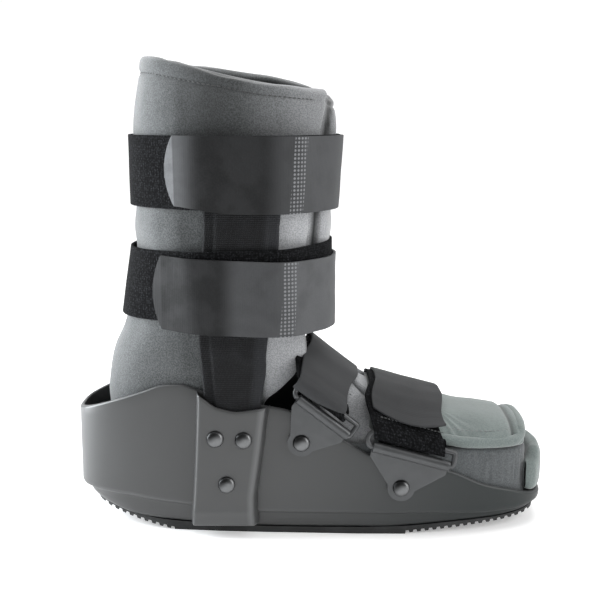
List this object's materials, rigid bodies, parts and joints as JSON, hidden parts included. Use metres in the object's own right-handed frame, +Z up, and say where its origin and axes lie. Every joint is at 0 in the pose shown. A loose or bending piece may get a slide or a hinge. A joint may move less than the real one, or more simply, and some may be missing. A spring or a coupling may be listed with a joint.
{
  "type": "medical walking boot",
  "caption": "Short walking boot with a rigid rocker shell, padded open-front liner, side uprights and hook-and-loop straps over leg and foot.",
  "frame": {"origin": "middle of the flat part of the sole, at floor height", "axes": "+Z up, +X towards the toes, -Y is the side that carries the strap rings"},
  "size_m": [0.3196, 0.1354, 0.312],
  "materials": {
    "shell": "satin moulded plastic",
    "outsole": "ribbed black rubber",
    "liner": "heathered brushed loop cloth over foam",
    "toe_cover": "pale brushed cloth over foam",
    "webbing": "coarse black woven and loop webbing",
    "closure": "smooth dark grey coated strap",
    "fittings": "satin grey",
    "wire": "satin grey"
  },
  "bodies": {
    "root": {"shell": "shell", "outsole": "outsole", "liner_leg": "liner", "liner_foot": "liner", "toe_bumper": "toe_cover", "instep_pad": "liner", "toe_flap": "toe_cover", "upright_near": "webbing", "rivet_near_rear": "fittings", "rivet_near_front": "fittings", "rivet_near_low": "fittings", "upright_far": "webbing", "rivet_far_rear": "fittings", "rivet_far_front": "fittings", "rivet_far_low": "fittings", "strap_upper_band": "webbing", "strap_upper_closure": "closure", "strap_lower_band": "webbing", "strap_lower_closure": "closure", "instep_webbing": "webbing", "instep_closure": "closure", "instep_bracket": "fittings", "instep_ring": "wire", "rivet_instep_near": "fittings", "rivet_instep_far": "fittings", "forefoot_webbing": "webbing", "forefoot_closure": "closure", "forefoot_bracket": "fittings", "forefoot_ring": "wire", "rivet_forefoot_near": "fittings", "rivet_forefoot_far": "fittings"}
  },
  "joints": []
}
